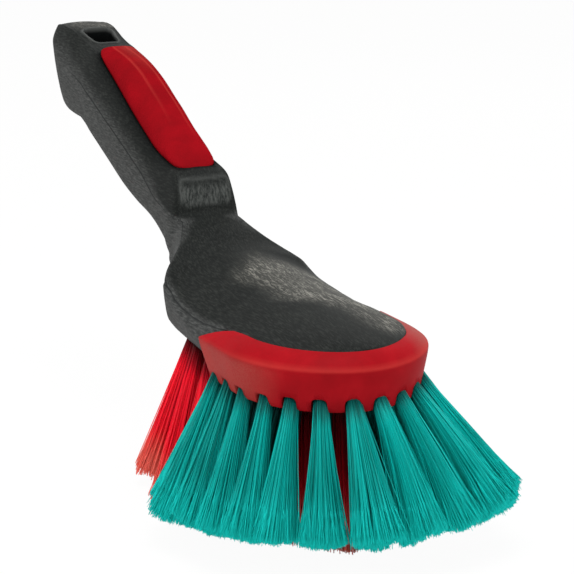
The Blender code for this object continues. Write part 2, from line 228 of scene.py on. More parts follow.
def addCamera(view):
    lens = bpy.data.cameras.new("camera")
    lens.lens, lens.sensor_width = view["lens"], view["sensor"]
    lens.clip_start, lens.clip_end = view["clip"]
    camera = addObject("camera", lens)
    right, up = Vector(view["right"]), Vector(view["up"])
    turn = Matrix((right, up, right.cross(up))).transposed().to_4x4()
    camera.matrix_world = Matrix.Translation(view["place"]) @ turn
    bpy.context.scene.camera = camera


lampAim = (0, 0, 0.05)
lamps = (  # name, place, size and power; all are white
    ("keyLight", (-0.1, -0.3, 1.45), 0.9, 15),
    ("leftLight", (-1.15, -0.1, 0.45), 0.8, 4.6),
    ("rightLight", (0.95, -0.6, 0.5), 0.8, 2.8),
    ("rearLight", (0.75, 0.75, 0.7), 0.8, 1.2),
)
surround = dict(
    paper="#f4f4f2",
    radius=3.0,
    glow=0.955,  # share of plain white in the floor, the rest keeps the shadow
    fill=0.55,  # how strongly the white backdrop lights the brush
)


def addLamps(lamps):
    for name, place, size, power in lamps:
        lamp = bpy.data.lights.new(name, "AREA")
        lamp.shape, lamp.size, lamp.energy = "DISK", size, power
        holder = addObject(name, lamp)
        holder.location = place
        holder.rotation_euler = (Vector(lampAim) - Vector(place)).to_track_quat("-Z", "Y").to_euler()


def seenDirectly(tree):
    # 1 where the camera sees it, also in a reflection or through glass
    ray = addNode(tree, "LightPath")
    seen = ray.outputs["Is Camera Ray"]
    for way in ("Is Glossy Ray", "Is Transmission Ray"):
        seen = addNode(tree, "Math", operation="MAXIMUM", links={0: seen, 1: ray.outputs[way]}).outputs[0]
    return seen


def addSurround(s):
    scene = bpy.context.scene
    scene.view_settings.view_transform = "Standard"
    world = bpy.data.worlds.new("studio")
    scene.world = world
    world.use_nodes = True
    tree = world.node_tree
    back = tree.nodes["Background"]
    strength = addNode(tree, "MapRange", sockets={"To Min": s["fill"], "To Max": 1.0},
                       links={"Value": seenDirectly(tree)})
    back.inputs["Color"].default_value = (1, 1, 1, 1)
    tree.links.new(strength.outputs[0], back.inputs["Strength"])
    bm = bmesh.new()
    bmesh.ops.create_circle(bm, cap_ends=True, segments=64, radius=s["radius"])
    floor = addObject("floor", meshFrom(bm, "floor"))
    # matt white studio paper, which the camera sees nearly as white as the backdrop
    paper, tree, shader = newMaterial("studioPaper", Roughness=0.9, Specular_IOR_Level=0.0,
                                      Base_Color=shade(s["paper"]))
    glow = addNode(tree, "Emission", sockets={"Color": (1, 1, 1, 1), "Strength": 1.0})
    share = addNode(tree, "Math", operation="MULTIPLY", sockets={1: s["glow"]}, links={0: seenDirectly(tree)})
    both = addNode(tree, "MixShader", links={0: share.outputs[0], 1: shader.outputs[0], 2: glow.outputs[0]})
    tree.links.new(both.outputs[0], tree.nodes["Material Output"].inputs["Surface"])
    floor.data.materials.append(paper)


addCamera(cameraView)
addLamps(lamps)
addSurround(surround)
print("camera, lamps and floor placed")


# Materials. A Mix of colours takes its share at socket 0 and the colours at 6 and 7, and gives them at output 2.
def charcoalPolypropylene():
    # glass-filled polypropylene, injection moulded: matt charcoal with a fine drawn-out fibre grain,
    # a flank painted paler below the parting line as light from below, painted shade in the parting crease,
    # a warm scuffed patch on the head under a painted sheen, painted shadow by the grip and a coarse thumb pad
    material, tree, shader = newMaterial("charcoalPolypropylene", IOR=1.49)
    place = addNode(tree, "TexCoord").outputs["Object"]
    flank, parting, rub, seam, edge, pad = [addNode(tree, "Attribute", attribute_name=name).outputs["Fac"]
                                            for name in ("flank", "parting", "rub", "seam", "edge", "pad")]

    # fibres 0.5 mm wide and 8 times as long, along the handle
    fibre = addNode(tree, "Mapping", links={"Vector": place},
                    sockets={"Scale": (1900, 240, 1500), "Rotation": (0.1, 0, 0.12)})
    fibre = addNode(tree, "TexNoise", links={"Vector": fibre.outputs[0]},
                    sockets={"Scale": 1.0, "Detail": 3.0, "Roughness": 0.65}).outputs["Fac"]
    # soft clouds 12 mm across and speckle 0.6 mm across
    cloud, speck = [addNode(tree, "TexNoise", links={"Vector": place},
                            sockets={"Scale": scale, "Detail": detail, "Roughness": rough}).outputs["Fac"]
                    for scale, detail, rough in ((85.0, 3.0, 0.6), (1500.0, 2.0, 0.7))]
    base = addNode(tree, "ValToRGB", links={"Fac": fibre},
                   ramp=((0.34, "#151716"), (0.5, "#1d1f1e"), (0.68, "#303230")))
    cloudy = addNode(tree, "ValToRGB", links={"Fac": cloud}, ramp=((0.35, "#7c7f7e"), (0.65, "#b0b0ac")))
    mixed = addNode(tree, "Mix", data_type="RGBA", blend_type="OVERLAY", sockets={0: 0.35},
                    links={6: base.outputs[0], 7: cloudy.outputs[0]})

    # painted light makes the flank paler and fades upwards past the parting line; painted shade makes a hair-thin
    # dark line in the parting crease
    under = addNode(tree, "MapRange", interpolation_type="SMOOTHSTEP", links={"Value": flank},
                    sockets={"From Min": 8.5, "From Max": -1.5, "To Max": 0.88})
    flankTone = addNode(tree, "ValToRGB", links={"Fac": fibre},
                        ramp=((0.34, "#2c2d2d"), (0.5, "#3d3e3d"), (0.68, "#525352")))
    mixed = addNode(tree, "Mix", data_type="RGBA",
                    links={0: under.outputs[0], 6: mixed.outputs[2], 7: flankTone.outputs[0]})
    nearLine = addNode(tree, "Math", operation="ABSOLUTE", links={0: flank})
    line = addNode(tree, "MapRange", links={"Value": nearLine.outputs[0]},
                   sockets={"From Min": 0.6, "From Max": 0.15, "To Max": 0.85})
    line = addNode(tree, "Math", operation="MULTIPLY", links={0: line.outputs[0], 1: parting})

    # scuffs: pale hair lines 1 mm apart inside the rubbed patch, over a thin painted sheen
    scuff = addNode(tree, "Mapping", links={"Vector": place},
                    sockets={"Scale": (900, 150, 400), "Rotation": (0, 0, 0.28)})
    scuff = addNode(tree, "TexNoise", links={"Vector": scuff.outputs[0]},
                    sockets={"Scale": 1.0, "Detail": 4.0, "Roughness": 0.6, "Distortion": 1.6})
    scuff = addNode(tree, "MapRange", links={"Value": scuff.outputs["Fac"]},
                    sockets={"From Min": 0.46, "From Max": 0.64})
    patchy = addNode(tree, "MapRange", links={"Value": cloud},
                     sockets={"From Min": 0.4, "From Max": 0.58, "To Min": 0.65})
    for part in (patchy.outputs[0], rub):
        scuff = addNode(tree, "Math", operation="MULTIPLY", links={0: scuff.outputs[0], 1: part})
    haze = addNode(tree, "Math", operation="MULTIPLY", sockets={1: 0.12}, links={0: rub})
    scuff = addNode(tree, "Math", operation="MAXIMUM", links={0: scuff.outputs[0], 1: haze.outputs[0]})

    # painted shadow lies soft and dark beside the grip, in front of it and down the slot; the slot's lip is worn
    # pale and the pad's upper rim has a painted highlight
    dark = addNode(tree, "MapRange", sockets={"To Max": 0.9}, links={"Value": seam})
    for amount, colour in ((line.outputs[0], "#191b1b"), (scuff.outputs[0], "#8a8880"),
                           (dark.outputs[0], "#0c0e0e"), (edge, "#5a5c5a")):
        mixed = addNode(tree, "Mix", data_type="RGBA", sockets={7: shade(colour)},
                        links={0: amount, 6: mixed.outputs[2]})
    shine = addNode(tree, "MapRange", sockets={"To Min": 0.05, "To Max": 0.0}, links={"Value": seam})

    # thumb pad: coarse grain drawn out downwards, 0.8 mm wide
    grain = addNode(tree, "Mapping", sockets={"Scale": (1300, 1300, 300)}, links={"Vector": place})
    grain = addNode(tree, "TexNoise", links={"Vector": grain.outputs[0]},
                    sockets={"Scale": 1.0, "Detail": 3.0, "Roughness": 0.7}).outputs["Fac"]
    padTone = addNode(tree, "ValToRGB", links={"Fac": grain}, ramp=((0.36, "#2b2e2d"), (0.7, "#6a6d6a")))
    padAmount = addNode(tree, "Math", operation="MULTIPLY", sockets={1: 0.72}, links={0: pad})
    mixed = addNode(tree, "Mix", data_type="RGBA",
                    links={0: padAmount.outputs[0], 6: mixed.outputs[2], 7: padTone.outputs[0]})
    rough = addNode(tree, "MapRange", sockets={"To Min": 0.5, "To Max": 0.72}, links={"Value": fibre})

    padHeight = addNode(tree, "Math", operation="MULTIPLY", links={0: grain, 1: pad})
    bump = addNode(tree, "Bump", sockets={"Strength": 0.35, "Distance": 0.00012}, links={"Height": fibre})
    for height, strength, distance in ((speck, 0.25, 0.0001), (padHeight.outputs[0], 0.9, 0.0005)):
        bump = addNode(tree, "Bump", sockets={"Strength": strength, "Distance": distance},
                       links={"Height": height, "Normal": bump.outputs[0]})
    tree.links.new(mixed.outputs[2], shader.inputs["Base Color"])
    tree.links.new(shine.outputs[0], shader.inputs["Specular IOR Level"])
    tree.links.new(rough.outputs[0], shader.inputs["Roughness"])
    tree.links.new(bump.outputs[0], shader.inputs["Normal"])
    return material


def redElastomer(name, colours, roughness, shine):
    # soft thermoplastic elastomer, overmoulded: satin red with a faint mottle 14 mm across, a grainy
    # painted sheen at its ends where light glances off, and a painted highlight along its ridges
    material, tree, shader = newMaterial(name, IOR=1.5, Specular_IOR_Level=shine)
    place = addNode(tree, "TexCoord").outputs["Object"]
    mottle = addNode(tree, "TexNoise", links={"Vector": place},
                     sockets={"Scale": 70.0, "Detail": 4.0, "Roughness": 0.6}).outputs["Fac"]
    grain = addNode(tree, "TexNoise", links={"Vector": place},
                    sockets={"Scale": 2200.0, "Detail": 2.0}).outputs["Fac"]
    bloom, ridge = [addNode(tree, "Attribute", attribute_name=name).outputs["Fac"] for name in ("bloom", "ridge")]
    mixed = addNode(tree, "ValToRGB", links={"Fac": mottle}, ramp=tuple(zip((0.32, 0.52, 0.7), colours))).outputs[0]
    powder = addNode(tree, "MapRange", links={"Value": grain},
                     sockets={"From Min": 0.3, "From Max": 0.7, "To Min": 0.35})
    powder = addNode(tree, "Math", operation="MULTIPLY", links={0: powder.outputs[0], 1: bloom})
    for amount, colour in ((powder.outputs[0], "#98574d"), (ridge, "#bb3f38")):
        mixed = addNode(tree, "Mix", data_type="RGBA", sockets={7: shade(colour)},
                        links={0: amount, 6: mixed}).outputs[2]
    rough = addNode(tree, "MapRange", links={"Value": mottle},
                    sockets={"To Min": roughness - 0.08, "To Max": roughness + 0.1})
    bump = addNode(tree, "Bump", sockets={"Strength": 0.2, "Distance": 0.00008}, links={"Height": grain})
    tree.links.new(mixed, shader.inputs["Base Color"])
    tree.links.new(rough.outputs[0], shader.inputs["Roughness"])
    tree.links.new(bump.outputs[0], shader.inputs["Normal"])
    return material


def polyesterBristle(name, deep, dark, body, pale, tip):
    # PBT filaments, crimped and split at the ends: a silky line along each one, paler where it splits.
    # The strand map holds the filament's tone across, darkened by painted shade where a tuft stands
    # in shade, and the way along it upwards.
    material, tree, shader = newMaterial(name, IOR=1.55, Specular_IOR_Level=0.12)
    strand = addNode(tree, "UVMap", uv_map="strand")
    parts = addNode(tree, "SeparateXYZ", links={"Vector": strand.outputs[0]})
    tone = addNode(tree, "ValToRGB", links={"Fac": parts.outputs[0]},
                   ramp=((0.0, deep), (0.28, dark), (0.5, body), (1.0, pale)))
    split = addNode(tree, "MapRange", interpolation_type="SMOOTHSTEP", links={"Value": parts.outputs[1]},
                    sockets={"From Min": 0.62, "From Max": 0.95, "To Max": 0.7})
    mixed = addNode(tree, "Mix", data_type="RGBA", sockets={7: shade(tip)},
                    links={0: split.outputs[0], 6: tone.outputs[0]})
    rough = addNode(tree, "MapRange", links={"Value": parts.outputs[1]},
                    sockets={"From Min": 0.5, "From Max": 1.0, "To Min": 0.42, "To Max": 0.75})
    tree.links.new(mixed.outputs[2], shader.inputs["Base Color"])
    tree.links.new(rough.outputs[0], shader.inputs["Roughness"])
    return material


charcoal = charcoalPolypropylene()
bumperRed = redElastomer("bumperElastomer", ("#8f0e16", "#980f18", "#a2121b"), 0.5, 0.025)
gripRed = redElastomer("gripElastomer", ("#7e0e15", "#880e16", "#930f18"), 0.55, 0.0)
tealBristle = polyesterBristle("tealPolyester", "#020f0e", "#006a64", "#00a9a1", "#00c8c0", "#0cd8d0")
redBristle = polyesterBristle("redPolyester", "#0e0203", "#a80018", "#f80a2a", "#ff2a3c", "#ff8a76")
print("materials made")


# outline of the nose
nose = dict(halfWidth=39.0, length=44.1, power=2 / 1.9, frontShare=0.8)


def nosePoint(angle, inset):
    # angle 0 at the front centre, 90 where the side begins
    turn = math.radians(angle)
    wide = (nose["halfWidth"] - inset) * math.sin(turn) ** nose["power"]
    deep = (nose["length"] - inset * nose["frontShare"]) * abs(math.cos(turn)) ** nose["power"]
    return wide, nose["length"] - deep


def walkNose(inset, distance):
    # place and outward direction, a distance from the front centre along the outline
    last, gone = nosePoint(0, inset), 0
    for step in range(1, 181):
        point = nosePoint(step / 2, inset)
        length = math.dist(last, point)
        if gone + length >= distance:
            share = (distance - gone) / length
            place = [a + (b - a) * share for a, b in zip(last, point)]
            across, back = [(b - a) / length for a, b in zip(last, point)]
            return Vector(place), Vector((back, -across))
        gone, last = gone + length, point
    # past the nose the side runs straight back
    return Vector((last[0], last[1] + distance - gone)), Vector((1, 0))


# handle block
handleBlock = dict(
    coreInset=9.1,  # how far inside the bumper's crease the block ends at the nose
    noseAngles=(1.5, 4, 7, 11, 16, 21, 27, 33, 39, 45, 51, 57, 63, 69, 75, 81, 86, 90),
    noseRise=(0.06, 0.62),  # the crown's share at the very front, and how roundly it rises from there
    noseWidest=0.5,  # z of the widest line round the nose
    noseUnder=0.9,  # share of the width that the underside has there
    shoulder=0.32,  # how a flank bulges midway between its edges: 0.5 is flat, less is fuller
    crown=(0.86, 0.62, 0.34),  # shares of the top's half width where its dome has corners
    ringGap=1.3,
    ringSteps=4,
    ringTension=0.42,
    ringLimit=1.1,
    # y, crown z, then z and half width of the top edge, the widest line, the foot and the underside
    rows=(
        (57.3, 12.9, 5.2, 29.8, 0.0, 30.3, -8.1, 30.3, -10.95, 28.2),
        (68.7, 13.3, 3.7, 31.7, 0.3, 35.4, -3.9, 37.4, -10.95, 30.4),
        (77.1, 13.7, 2.8, 32.8, -0.4, 36.0, -4.5, 36.4, -10.95, 30.4),
        (87.9, 14.5, 3.0, 33.2, 0.2, 36.0, -6.5, 33.8, -10.95, 29.8),
        (99.0, 15.3, 3.9, 33.0, 1.6, 35.1, -7.5, 32.0, -10.95, 28.8),
        (108.0, 16.1, 4.9, 32.3, 3.4, 34.1, -7.0, 31.6, -10.8, 28.0),
        (114.5, 16.9, 6.1, 31.8, 4.7, 33.4, -6.6, 31.3, -10.5, 27.4),
        (118.8, 17.5, 7.8, 31.3, 6.2, 32.9, -6.0, 31.1, -10.0, 26.4),
        (120.7, 17.75, 9.0, 31.0, 7.0, 32.5, -4.6, 30.6, -9.7, 25.2),
        (122.6, 18.1, 10.7, 30.2, 7.7, 31.1, -2.0, 30.1, -8.9, 23.4),
        (126.0, 18.9, 12.6, 28.2, 8.1, 29.7, 1.8, 29.4, -7.5, 20.6),
        (129.9, 20.1, 15.0, 24.9, 9.6, 26.7, 4.5, 27.3, -5.1, 17.1),
        (136.8, 23.1, 20.4, 18.0, 12.6, 21.6, 6.0, 23.1, -0.6, 14.1),
        (144.9, 26.4, 24.9, 13.8, 15.6, 17.4, 8.1, 19.2, 4.5, 11.1),
        (150.6, 29.0, 28.0, 11.9, 17.8, 15.8, 9.6, 17.4, 7.2, 9.9),
        (152.1, 33.2, 31.5, 11.7, 18.6, 15.5, 10.0, 16.8, 7.8, 9.8),
        (153.1, 38.6, 36.6, 11.7, 19.8, 15.4, 10.4, 16.3, 8.4, 9.7),
        (154.3, 42.4, 40.6, 11.7, 21.4, 15.3, 11.0, 15.8, 9.0, 9.3),
        (156.8, 44.6, 43.0, 11.6, 23.6, 15.2, 11.8, 15.2, 9.6, 9.0),
        (160.2, 45.9, 44.5, 11.4, 27.0, 15.0, 13.0, 14.6, 10.5, 8.4),
        (165.9, 47.6, 45.9, 11.1, 31.5, 14.7, 15.9, 13.5, 12.3, 8.1),
        (183.0, 51.0, 49.8, 10.5, 35.4, 14.7, 22.5, 12.9, 19.8, 7.5),
        (200.1, 58.2, 57.0, 10.5, 41.1, 15.0, 26.4, 12.9, 23.4, 7.5),
        (213.9, 64.8, 63.6, 10.5, 47.1, 15.3, 30.9, 13.2, 27.6, 7.5),
        (231.9, 74.1, 72.9, 10.5, 55.5, 15.3, 38.1, 13.2, 34.5, 7.5),
        (246.9, 81.0, 79.8, 10.5, 61.5, 15.3, 44.1, 13.2, 40.2, 7.5),
        (255.9, 85.2, 84.0, 9.9, 65.4, 15.3, 47.7, 13.2, 43.8, 7.8),
        (263.1, 86.3, 85.4, 9.7, 68.1, 15.0, 51.0, 13.2, 47.7, 8.1),
        (270.9, 88.2, 87.0, 9.9, 70.5, 14.7, 53.1, 13.2, 50.7, 8.4),
        (279.0, 90.7, 89.1, 10.4, 73.2, 14.5, 53.4, 12.9, 51.6, 8.7),
        (288.0, 92.0, 91.0, 11.0, 76.8, 14.4, 54.0, 12.3, 52.2, 8.5),
        (295.5, 92.3, 91.5, 11.2, 80.8, 14.5, 56.4, 11.8, 54.3, 7.9),
        (300.0, 92.3, 91.4, 11.2, 83.2, 14.4, 60.9, 11.4, 58.5, 7.2),
        (303.0, 92.0, 90.9, 10.8, 83.6, 13.5, 65.1, 10.6, 63.0, 6.2),
        (304.5, 91.0, 89.6, 9.8, 83.2, 11.9, 68.4, 9.2, 66.4, 5.2),
        (304.8, 89.2, 88.0, 8.6, 82.6, 10.2, 70.6, 7.8, 69.0, 4.2),
    ),
    # the hanging slot: its flanks lean in toward the grip and the handle's top rises toward the end
    slot=dict(
        centreY=272.6, topZ=88.7, slope=0.28, size=(13.2, 16.6), corner=3.0, cornerSteps=6, narrower=0.26,
        levels=((-60, 0), (-4.5, 0), (-2.2, 0.15), (0.0, 0.8), (10, 3.2)),  # height over the top, and growth there
        # darkFrom: how far below the top the painted shade inside the slot begins
        rim=1.5, rimRise=0.5, zone=255, darkFrom=1.5,
    ),
    pad=dict(halfWidth=11.5, low=31.0, high=43.0, corner=2.8, rise=0.5, edge=1.2, zone=(148, 160)),
    # the parting line on the handle's flank, y and z
    parting=(
        (48, 4.2), (68.7, 3.2), (77.1, 2.6), (87.9, 2.8), (99, 3.7), (108, 4.7), (118.8, 7.6),
        (122.6, 10.3), (126, 12.1), (130, 14.8), (137.6, 20.9), (147.3, 26.3), (160, 28.6),
        (173.2, 31.4), (188.2, 39.3), (213, 49.9), (236.7, 59.3), (260.6, 68.5), (272.6, 71.3), (306, 78),
    ),
)


def blockRings(p):
    rearY, rearTop, edgeZ, _, _, _, footZ, _, underZ, _ = p["rows"][0]
    front = nosePoint(0, p["coreInset"])[1]
    least, power = p["noseRise"]
    rows = []
    for angle in p["noseAngles"]:
        wide, along = nosePoint(angle, p["coreInset"])
        share = (along - front) / (rearY - front)
        top = edgeZ + (rearTop - edgeZ) * (least + (1 - least) * share ** power)
        rows.append((along, top, edgeZ, wide, p["noseWidest"], wide, footZ, wide, underZ, wide * p["noseUnder"]))
    fine = evenRows(np.array(rows + list(p["rows"])), [0, 1, 3], p["ringGap"])
    rings = []
    for y, crown, edgeZ, edgeW, wideZ, wideW, footZ, footW, underZ, underW in fine:
        half = [(0, underZ), (underW / 2, underZ), (underW, underZ), (footW, footZ),
                (wideW - p["shoulder"] * (wideW - footW), (wideZ + footZ) / 2), (wideW, wideZ),
                (wideW - p["shoulder"] * (wideW - edgeW), (wideZ + edgeZ) / 2), (edgeW, edgeZ)]
        half += [(edgeW * s, edgeZ + (crown - edgeZ) * (1 - s * s)) for s in p["crown"]] + [(0, crown)]
        ring = np.array([(x, y, z) for x, z in mirrored(half)])
        rings.append(roundRing(ring, p["ringSteps"], p["ringTension"], p["ringLimit"]))
    return rings


def slotDistance(x, y, s):
    # negative inside the hanging slot
    width, length = s["size"]
    along = (y - s["centreY"]) / length
    taper = 1 - s["narrower"] * (0.5 - np.clip(along, -0.5, 0.5))
    return roundedBoxDistance(x / taper, y - s["centreY"], width / 2, length / 2, s["corner"])


def padDistance(x, z, d):
    # negative inside the thumb pad
    middle, halfHeight = (d["low"] + d["high"]) / 2, (d["high"] - d["low"]) / 2
    return roundedBoxDistance(x, z - middle, d["halfWidth"], halfHeight, d["corner"])


def slotCutter(s):
    # straight opening, flared a little where it meets the top
    width, length = s["size"]
    rings = []
    for height, grow in s["levels"]:
        ring = []
        for quarter, (signX, signY) in enumerate(((1, 1), (-1, 1), (-1, -1), (1, -1))):
            for k in range(s["cornerSteps"] + 1):
                turn = math.pi / 2 * (quarter + k / s["cornerSteps"])
                x = signX * (width / 2 - s["corner"]) + math.cos(turn) * (s["corner"] + grow)
                y = signY * (length / 2 - s["corner"]) + math.sin(turn) * (s["corner"] + grow)
                x *= 1 - s["narrower"] * (0.5 - y / length)
                ring.append((x, s["centreY"] + y, s["topZ"] + s["slope"] * y + height))
        rings.append(ring)
    return loft(rings)


def raiseDetails(bm, s, d):
    # thumb pad and the rim round the slot stand half a millimetre proud
    bm.normal_update()
    moved = []
    for vert in bm.verts:
        x, y, z = vert.co
        if y > s["zone"] and vert.normal.z > 0.5:
            fromRim = abs(slotDistance(x, y, s) - s["rim"] / 2)
            lift = s["rimRise"] * max(0.0, 1 - fromRim / s["rim"])
        elif d["zone"][0] < y < d["zone"][1] and vert.normal.y < -0.3:
            lift = d["rise"] * min(max(-padDistance(x, z, d) / d["edge"], 0), 1)
        else:
            continue
        if lift > 0:
            moved.append((vert, vert.normal * lift))
    for vert, shift in moved:
        vert.co += shift


# Wear, painted light and painted shade on the block. A pair of limits says where a mask starts and where it is
# full.
wear = dict(
    # y, and how many times sooner the painted light on the flank fades above the parting line
    fade=((118, 5.0), (150, 8.0), (172, 1.0), (258, 1.0), (288, 0.5)),
    # the rubbed patch on the head, real scuffs under a painted sheen, whose left edge is given by y and x; left and
    # rear edge are wavy
    patch=dict(
        front=(12, 34), rear=(122, 103), right=(40, 24), height=(3, 7), leftSoft=(-6, 9),
        left=((14, 12), (35, 11.5), (50, 5), (62, -6), (96, -10), (112, -5)),
    ),
    # scuffs and a painted sheen on top of the handle's end, left of the middle
    end=dict(strength=0.65, along=(281, 286), height=(86.5, 90), across=(-11, -3)),
    lip=dict(strength=0.6, middle=0.9, width=(1.1, 0.3)),
    padRim=dict(strength=0.3, middle=-0.6, width=(1.0, 0.2)),  # a painted highlight along the pad's rim, where it catches the light above z 36
    padFade=(41.4, 37.0),
    padZone=(147, 158),
    # painted shade lies beside the grip, in front of it and down the slot
    gripShade=(4.0, 0.5),
    frontShade=dict(strength=0.8, along=(3.0, 0.1)),
    slotShade=1.3,
    # where the painted shade in the parting crease fades out toward the handle's end
    partingEnd=(284, 262),
)


def paintBlock(piece, p, w, grip):
    # per-point masks that the material reads, worked out in mm
    x, y, z = placesOf(piece)
    slot = p["slot"]
    # painted light and shade from the height over the parting line: a paler lower flank and a dark line in the
    # crease
    flank = z - np.interp(y, *zip(*p["parting"]))
    flank = np.where(flank > 0, flank * np.interp(y, *zip(*w["fade"])), flank)
    # the middle of the handle's top is as dark as what lies 9 mm above the line
    flank = np.where((np.abs(x) < 9) & (z > 20) & (y > 150), 9, flank)

    # rubbed patch: real scuffs, with a painted sheen over them
    patch = w["patch"]
    leftEdge = np.interp(y, *zip(*patch["left"])) + 1.6 * np.sin(y / 5.5)
    rearEdge = 1.8 * np.sin(x / 4.5) - 0.012 * (x - 8) ** 2
    rub = rise(y, *patch["front"]) * rise(y - rearEdge, *patch["rear"]) * rise(x - leftEdge, *patch["leftSoft"])
    rub = rub * rise(x, *patch["right"]) * rise(z, *patch["height"])
    rub = rub * rub * (3 - 2 * rub)
    end = w["end"]
    onEnd = rise(y, *end["along"]) * rise(z, *end["height"]) * rise(x, *end["across"])
    rub = np.maximum(rub, end["strength"] * onEnd)

    # the slot's worn lip, and a painted highlight on the pad's upper rim
    lip, rim = w["lip"], w["padRim"]
    toSlot, toPad = slotDistance(x, y, slot), padDistance(x, z, p["pad"])
    onPad = (y > w["padZone"][0]) * (y < w["padZone"][1])
    onLip = (toSlot > 0.4) * (z > 80)
    edge = lip["strength"] * rise(np.abs(toSlot - lip["middle"]), *lip["width"]) * onLip
    edge = np.maximum(edge, rim["strength"] * rise(np.abs(toPad - rim["middle"]), *rim["width"]) * (z > 36) * onPad)
    pad = rise(-toPad, -0.6, p["pad"]["edge"]) * onPad * (0.12 + 0.88 * rise(z, *w["padFade"]))

    # painted shadow beside and in front of the grip, and down the slot
    gripY, gripW, gripZ, _ = zip(*grip["rows"])
    beside = np.abs(x) - np.interp(y, gripY, gripW)
    alongGrip = (y > gripY[0]) * (y < gripY[-1]) * (z > np.interp(y, gripY, gripZ) - 9)
    seam = rise(beside, *w["gripShade"]) * alongGrip
    inFront = (y <= gripY[0]) * (np.abs(x) < 8.5) * (z > 42)
    ends = rise(gripY[0] - y, *w["frontShade"]["along"]) * inFront
    seam = np.maximum(seam, w["frontShade"]["strength"] * ends)
    slotFloor = slot["topZ"] - slot["darkFrom"] + slot["slope"] * (y - slot["centreY"])
    seam = np.maximum(seam, w["slotShade"] * ((toSlot < 0.35) & (y > slot["zone"]) & (z < slotFloor)))
    setPoints(piece, flank=flank, rub=rub, pad=pad, seam=seam, edge=edge, parting=rise(y, *w["partingEnd"]))


# grip inset
handleGrip = dict(
    depth=3.0,
    gap=0.35,
    ringGap=1.0,
    recessFlare=1.04,  # the recess opens a little toward the top
    recessHeight=12,
    # y, half width, edge z, rise of the crown above the edge
    rows=(
        (161.0, 3.4, 45.3, 0.5), (161.5, 5.4, 45.4, 1.2),
        (162.6, 7.3, 45.6, 2.4), (164.4, 8.4, 46.0, 3.8),
        (167.2, 8.9, 46.7, 5.2), (172.0, 9.0, 48.0, 7.2),
        (181.5, 9.0, 50.3, 9.9), (200.1, 9.0, 57.6, 12.9),
        (213.9, 9.0, 64.5, 12.6), (228.0, 9.0, 71.7, 10.2),
        (240.0, 8.85, 77.4, 6.9), (248.7, 8.55, 81.3, 4.2),
        (252.3, 7.5, 83.4, 2.7), (253.9, 5.7, 84.0, 1.5),
    ),
    # across and up the dome, with a soft lengthwise ridge each side of the middle
    dome=(
        (1.0, 0.0), (1.045, 0.12), (1.06, 0.26), (1.05, 0.42), (1.0, 0.57), (0.92, 0.71),
        (0.8, 0.82), (0.72, 0.87), (0.66, 0.9), (0.6, 0.92), (0.54, 0.942), (0.48, 0.962),
        (0.42, 0.978), (0.36, 0.985), (0.3, 0.986), (0.24, 0.988), (0.15, 0.995),
    ),
    # the painted highlight on each ridge: strength, x at the two places in ridgeY, and the y between which it fades
    # in
    ridges=((0.4, (-2.5, -2.5), (182, 222)), (0.45, (5.4, 3.4), (172, 200))),
    ridgeY=(180, 240),
    ridgeWidth=(0.8, 0.1),
    # a painted sheen on the grip's rear top, right of the middle
    bloom=dict(strength=0.35, along=(215, 250), across=(-3, 3)),
)


def gripRings(p, grow, openTop):
    # the inset itself or, grown by its gap and open at the top, the recess that it lies in
    fine = evenRows(np.array(p["rows"]), [0, 1], p["ringGap"])
    middle = (fine[0, 0] + fine[-1, 0]) / 2
    rings = []
    for y, wide, edge, crown in fine:
        place = y + math.copysign(grow, y - middle)
        full, floor = wide + grow, edge - p["depth"] - grow
        half = [(0, floor), (full * 0.5, floor), (full, floor)]
        if openTop:
            top = edge + p["recessHeight"]
            half += [(full, edge), (full * p["recessFlare"], top), (0, top)]
        else:
            half += [(wide * across, edge + crown * up) for across, up in p["dome"]] + [(0, edge + crown)]
        rings.append([(x, place, z) for x, z in mirrored(half)])
    return rings


def buildGrip(p):
    piece = finishPiece("grip_inset", loft(gripRings(p, 0, False)), gripRed, 50)
    x, y, z = placesOf(piece)
    # painted highlights along the dome's two ridges
    ridge = np.zeros(len(x))
    for strength, places, fadeIn in p["ridges"]:
        off = np.abs(x - np.interp(y, p["ridgeY"], places))
        ridge = np.maximum(ridge, strength * rise(off, *p["ridgeWidth"]) * rise(y, *fadeIn))
    b = p["bloom"]
    bloom = b["strength"] * rise(y, *b["along"]) * rise(x, *b["across"])
    setPoints(piece, ridge=ridge * rise(z, 44, 50), bloom=bloom)
    rideOn(piece, "grip_rubber", "handle_grip")
    return piece


def buildBlock(p):
    bm = loft(blockRings(p))
    raiseDetails(bm, p["slot"], p["pad"])
    piece = finishPiece("moulded_handle", bm, charcoal, 38)
    cutFrom(piece, slotCutter(p["slot"]))
    cutFrom(piece, loft(gripRings(handleGrip, handleGrip["gap"], True)))
    paintBlock(piece, p, wear, handleGrip)
    rideOn(piece, "charcoal_plastic", "handle_block")
    return piece


block = buildBlock(handleBlock)
grip = buildGrip(handleGrip)
print("handle block", len(block.data.polygons), "faces, grip", len(grip.data.polygons))


